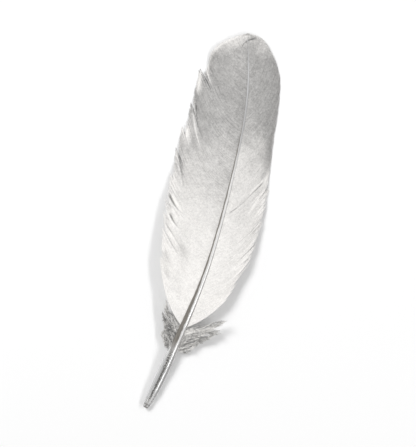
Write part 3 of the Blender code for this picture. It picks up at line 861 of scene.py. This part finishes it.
def silver_vane_finish(name, coat):
    """Silver paint sprayed over white barbs: heavy and grey towards the tip, thin and pale below. The
    coat gives how thick it is, from 0 to 1, at distances up the feather."""
    f = Finish(name)
    spot = f.spot()
    drift = f.times(f.minus(f.noise(spot, COAT_CLOUD), 0.5), COAT_DRIFT)
    above_quill_end = f.plus(f.plus(f.parts(spot)["Y"], drift), BOX_MIDDLE[1] * MM)
    way = f.calc("DIVIDE", above_quill_end, SHAFT_LENGTH * MM)
    spray = f.curve(way, [(place / SHAFT_LENGTH, share) for place, share in coat])
    web = f.parts(f.attribute("web_map", "Vector"))
    # Painted highlight and thinner paint at the barbs' ends along the vane's edge.
    rim = f.ramp(web["X"], *PALE_RIM, 0.0, -0.3)
    marks = f.plus(f.attribute("paint"), rim)
    paint = f.ramp(f.plus(spray, marks), 0.0, 1.0, interpolation="LINEAR")
    streak_spot = f.xyz(f.times(web["X"], PAINT_STREAKS[0]), f.times(web["Y"], PAINT_STREAKS[1]))
    streak = f.noise(streak_spot, 1.0, roughness=0.7)
    grain = f.noise(spot, PAINT_GRAIN, 1.0)
    mottle = f.noise(spot, PAINT_MOTTLE, roughness=0.7)
    blotch = f.noise(spot, PAINT_BLOTCH)
    speckle = f.ramp(grain, 0.36, 0.64, -0.1, 0.1)
    patchy = f.plus(f.ramp(mottle, 0.3, 0.7, -0.15, 0.15), f.ramp(blotch, 0.35, 0.65, -0.06, 0.06))
    uneven = f.times(f.plus(speckle, patchy), f.ramp(paint, 0.0, 1.0, 0.45, 1.0))
    # Painted shade: the vane is darker where the partings are pressed in deepest.
    crease = f.ramp(f.attribute("crease"), 0.02, 0.4, 0.0, PAINTED_CREASE_SHADE)
    shade = f.minus(f.plus(1.0, uneven), crease)
    colour = f.mix(paint, f.mix(streak, *PALE_BARBS), f.mix(streak, *GREY_PAINT))
    f.set(Base_Color=f.scaled(colour, shade), Metallic=f.ramp(paint, 0.0, 1.0, 0.0, 0.3),
          Roughness=f.ramp(grain, 0.3, 0.7, 0.48, 0.64))
    f.bump(f.plus(grain, f.times(streak, 0.6)), 0.3, 0.00005)
    return f.material


def horn_finish(name, clear_wall):
    """The shaft's horn. Paint caught its top and missed its left flank and its underside, and a line of
    painted shade darkens it along its right edge. clear_wall makes the bare horn see-through, up to where it
    grows dull."""
    f = Finish(name)
    spot = f.spot()
    around, place = f.attribute("around"), f.attribute("place")
    way = f.calc("DIVIDE", place, SHAFT_LENGTH)
    grain = f.noise(spot, HORN_GRAIN, 2.0)
    streak = f.noise(f.vector("MULTIPLY", spot, (1.0, 0.06, 1.0)), HORN_STREAK, 2.0)
    blot = f.noise(f.vector("MULTIPLY", spot, (1.0, 0.3, 1.0)), HORN_BLOT)
    ragged = f.mix(f.ramp(place, *BLOTS_TO_STREAKS), blot, streak)
    wander = f.plus(around, f.ramp(ragged, 0.3, 0.7, -0.016, 0.016))
    past = f.minus(wander, f.curve(way, BARE_FROM))
    short = f.minus(f.curve(way, BARE_TO), wander)
    flank = f.times(f.ramp(past, -0.008, 0.012), f.ramp(short, -0.01, 0.01), f.ramp(place, *FLANK_PAINTED))
    below = f.within(wander, *BELOW)
    ringed = f.calc("SINE", f.times(place, 2 * math.pi / PAINT_RING_STEP))
    rings = f.times(f.ramp(f.plus(ringed, f.times(blot, 2.0)), 0.9, 1.5), f.ramp(place, *PAINT_RINGS_FADE))
    bare = f.calc("MAXIMUM", f.calc("MAXIMUM", flank, rings), below)
    # Painted shade: a darker line along the shaft's right edge, fading out further up.
    painted_edge_shade = f.times(f.within(around, *EDGE_SHADE_BAND), f.ramp(place, *EDGE_SHADE_FADES))
    silver = SHAFT_SILVER
    for start, end, colour in SHAFT_PAINT:
        silver = f.mix(f.ramp(place, start, end), silver, colour)
    silver = f.mix(painted_edge_shade, silver, EDGE_SHADE_GREY)
    horn = f.mix(below, f.mix(streak, *BARE_HORN), HORN_BELOW)
    rough = f.calc("MAXIMUM", f.ramp(place, *ROUGH_TIP), f.ramp(place, *ROUGH_QUILL_END))
    metallic = f.times(f.minus(1.0, bare), f.ramp(place, *METALLIC_SHARE))
    if clear_wall:
        dull = f.ramp(place, *WALL_DULLS)
        wall = f.mix(f.ramp(place, *WALL_PALES), HORN_AT_END, CLEAR_HORN)
        horn = f.mix(dull, wall, horn)
        clear = f.times(bare, f.times(f.ramp(place, *WALL_CLEARS), f.minus(1.0, dull)))
        f.set(Transmission_Weight=f.times(clear, 0.9), IOR=1.4)
    f.set(Base_Color=f.mix(bare, silver, horn), Metallic=metallic, Roughness=rough)
    f.bump(f.plus(grain, streak), 0.1, 0.00003)
    return f.material


def membrane_finish():
    f = Finish("dried membrane")
    grain = f.noise(f.spot(), MEMBRANE_GRAIN)
    f.set(Base_Color=f.mix(grain, *MEMBRANE_BROWN), Roughness=0.5)
    f.bump(grain, 0.4, 0.0001)
    return f.material


def down_finish(name, dust_and_painted_shade, clean_and_lit):
    """White down with random flecks of silver dust, mixed by its tone from a grey of dust and painted shade
    to a lit white; the tone holds painted shade in the troughs between its curls and painted highlight on
    their crests.
    """
    f = Finish(name)
    fleck = f.ramp(f.noise(f.spot(), DUST_FLECK, 2.0), 0.35, 0.65, -0.25, 0.25)
    pale = f.ramp(f.plus(f.attribute("tone"), fleck), 0.0, 1.0, interpolation="LINEAR")
    # The grey end is dust and painted shade, the white end the down as lit.
    dust, white = ([grey * share for share in WARM_WHITE] + [1] for grey in (dust_and_painted_shade, clean_and_lit))
    f.set(Base_Color=f.mix(pale, dust, white), Roughness=0.6)
    return f.material


# ---------------------------------------------------------------- the shaft
SHAFT_SIDES = 48
RIM_STEP = 0.04  # the spacing of the rings that keep the joint between quill and rachis crisp
PIT_NARROWS = 0.6
ROUNDED_RINGS = 8
ROUNDED_LENGTH = 2.0  # the quill's rounded end
TUBE_RINGS = 70
THIN_WALL = 0.03
PITH_RINGS = 24
PITH_GAP = 0.02
PITH_POINT = 0.12  # how thick the pith's point is, as a share of the hollow
RACHIS_RINGS = 220


def ring_points(place, radius, furrow):
    """One ring round the shaft, with the furrow underneath in the rachis."""
    angle = 2 * np.pi * np.arange(SHAFT_SIDES) / SHAFT_SIDES
    from_below = np.abs((angle + np.pi / 2 + np.pi) % (2 * np.pi) - np.pi)
    inside = np.minimum(from_below / GROOVE_HALF_ANGLE, 1)
    depth = float(smooth(GROOVE, place)) if furrow else 0
    reach = radius * (1 - depth * np.cos(inside * np.pi / 2) ** 2)
    height = float(middle_height(place)) + reach * np.sin(angle)
    return beside_shaft(np.full(SHAFT_SIDES, float(place)), reach * np.cos(angle), height)


def loft(name, rings, places, finish):
    """A closed skin over rings of points, with flat ends. Each point keeps how far along the shaft it is,
    and each face's corners how far round, from 0 at the right over the top."""
    sides = SHAFT_SIDES
    faces, turns = [], []
    for r in range(len(rings) - 1):
        low, high = r * sides, (r + 1) * sides
        for k in range(sides):
            across = (k + 1) % sides
            faces.append((high + k, high + across, low + across, low + k))
            turns += [k / sides, (k + 1) / sides, (k + 1) / sides, k / sides]
    last = (len(rings) - 1) * sides
    faces += [tuple(range(sides)), tuple(reversed(range(last, last + sides)))]
    turns += [0.75] * (2 * sides)
    mesh = new_mesh(name, np.concatenate(rings), faces)
    mesh.shade_smooth()
    mark(mesh, "around", turns, "CORNER")
    mark(mesh, "place", np.repeat(places, sides))
    return shown(name, mesh, finish)


def shaft_radius(place):
    return float(smooth(RADIUS, place))


def tube_wall(place):
    return float(np.interp(place, [0, PITH_START, TUBE_END], [QUILL_WALL, QUILL_WALL, THIN_WALL]))


def make_quill_tube(finish):
    """The hollow quill's clear horn wall: its outer skin, out and back in along its inner skin."""
    rounded = np.linspace(0, 1, ROUNDED_RINGS)[:-1] ** 2 * ROUNDED_LENGTH
    places = np.concatenate([rounded, np.linspace(ROUNDED_LENGTH, TUBE_END, TUBE_RINGS)])
    places = np.insert(places, len(places) - 1, TUBE_END - RIM_STEP)
    outer = [ring_points(p, shaft_radius(p), False) for p in places]
    inner_places = [p for p in places[::-1] if p > PIT_DEPTH + 0.5]
    inner = [ring_points(p, shaft_radius(p) - tube_wall(p), False) for p in inner_places]
    pit = [ring_points(PIT_DEPTH, PIT_RADIUS * PIT_NARROWS, False), ring_points(0, PIT_RADIUS, False)]
    return loft("quill_tube", pit + outer + inner, [PIT_DEPTH, 0, *places, *inner_places], finish)


def make_rachis(finish):
    """The shaft above the quill. It starts as a point of pith inside the quill's clear tube."""
    inside = [*np.linspace(PITH_START, TUBE_END, PITH_RINGS)[:-1], TUBE_END - RIM_STEP]
    above = np.linspace(TUBE_END + RIM_STEP, SHAFT_LENGTH, RACHIS_RINGS)
    places = np.concatenate([inside, [TUBE_END], above])
    rings = []
    for p in places:
        radius = shaft_radius(p)
        if p < TUBE_END:
            filling = math.sin(math.pi / 2 * (p - PITH_START) / (TUBE_END - PITH_START))
            radius = (radius - tube_wall(p) - PITH_GAP) * max(filling, PITH_POINT)
        rings.append(ring_points(p, radius, p >= TUBE_END))
    return loft("rachis", rings, places, finish)


def membrane_guide():
    count = MEMBRANE_POINTS
    places = np.linspace(*MEMBRANE, count)
    points = beside_shaft(places, np.full(count, MEMBRANE_ASIDE), middle_height(places))
    return new_mesh("membrane", points, edges=[(i, i + 1) for i in range(count - 1)])


# ---------------------------------------------------------------- table, light and camera
def make_table():
    finish = Finish("pale table")
    finish.set(Base_Color=TABLE_GREY, Roughness=0.9)
    corners = [(x * TABLE_HALF, y * TABLE_HALF, 0) for x, y in ((-1, -1), (1, -1), (1, 1), (-1, 1))]
    table = shown("table", new_mesh("table", corners, [(0, 1, 2, 3)]), finish.material)


def soft_light(name, in_picture, width, length, power):
    """A light that faces the feather."""
    lamp = bpy.data.lights.new(name, "AREA")
    lamp.shape = "RECTANGLE"
    lamp.size, lamp.size_y = width, length
    lamp.energy = power
    light = shown(name, lamp)
    turn = Matrix.Rotation(math.radians(PHOTO_LEAN), 3, "Z")
    light.location = turn @ Vector(in_picture)
    facing = light.location.normalized()
    sideways = (turn @ Vector((0, 1, 0))).cross(facing).normalized()
    light.rotation_euler = Matrix((sideways, facing.cross(sideways), facing)).transposed().to_euler()


def make_camera():
    lean = math.radians(PHOTO_LEAN)
    low, high = SOLID_BOX
    width, length = high[0] - low[0], high[1] - low[1]
    picture_height = (length * math.cos(lean) + width * math.sin(lean)) / FRAME_SHARE
    lens = bpy.data.cameras.new("camera")
    lens.sensor_fit = "VERTICAL"
    lens.sensor_height = SENSOR_HEIGHT
    lens.lens = SENSOR_HEIGHT * CAMERA_HEIGHT / picture_height
    camera = shown("camera", lens)
    camera.location = (0, 0, CAMERA_HEIGHT)
    camera.rotation_euler = (0, 0, lean)
    bpy.context.scene.camera = camera


def make_world():
    world = bpy.data.worlds.new("studio")
    bpy.context.scene.world = world
    world.use_nodes = True
    sky = world.node_tree.nodes["Background"]
    sky.inputs["Color"].default_value = (1, 1, 1, 1)
    sky.inputs["Strength"].default_value = SKY_STRENGTH


# ---------------------------------------------------------------- putting it together
def put_in(piece, node):
    """Shows the piece in place of the node's solid."""
    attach(piece, BODY)
    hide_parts(node)


zipped = barb_growth()
VANES = {"wide_vane": (WIDE_VANE, 11, WIDE_VANE_COAT), "narrow_vane": (NARROW_VANE, 23, NARROW_VANE_COAT)}
for node, (sheet, seed, coat) in VANES.items():
    silver = silver_vane_finish("silver paint on the " + node.replace("_", " "), coat)
    values = {"Barbs": BARBS_PER_VANE, "Cover": BARB_COVER, "Barb height": BARB_HEIGHT * MM,
              "Shingle": BARB_SHINGLE, "Swell": BARB_SWELL * MM, "Fray": BARB_FRAY, "Seed": seed,
              "Finish": silver}
    barbs = grow(node + "_barbs", barb_guide(node, sheet), zipped, values)
    wear_and_painted_light(barbs.data, sheet["side"])
    put_in(barbs, node)
downy = down_growth()
# Each tuft's finish runs from a grey of dust and painted shade to a lit white.
TUFTS = {
    "wide_side_down": (WIDE_SIDE_DOWN, 5, down_finish("dusted down", 0.22, 0.95)),
    "narrow_side_down": (NARROW_SIDE_DOWN, 7, down_finish("white down", 0.35, 1.0)),
}
for node, (tuft, seed, dust_and_painted_shade) in TUFTS.items():
    values = {"Stem radius": DOWN_BARB_RADIUS * MM, "Barbule radius": BARBULE_RADIUS * MM, "Seed": seed,
              "Barbule length": BARBULE_LENGTH * MM, "Spacing": BARBULE_SPACING * MM, "Finish": dust_and_painted_shade}
    put_in(grow(node + "_barbs", down_guide(node, tuft, seed), downy, values), node)
cups = {"Cups": MEMBRANE_CUPS, "Seed": 3, "Finish": membrane_finish()}
put_in(grow("quill_membrane", membrane_guide(), membrane_growth(), cups), "quill_shaft")
put_in(make_quill_tube(horn_finish("clear quill horn", True)), "quill_shaft")
put_in(make_rachis(horn_finish("rachis horn", False)), "quill_shaft")

make_table()
make_world()
for name, light in LIGHTS.items():
    soft_light(name, *light)
make_camera()
bpy.context.scene.view_settings.view_transform = "Standard"
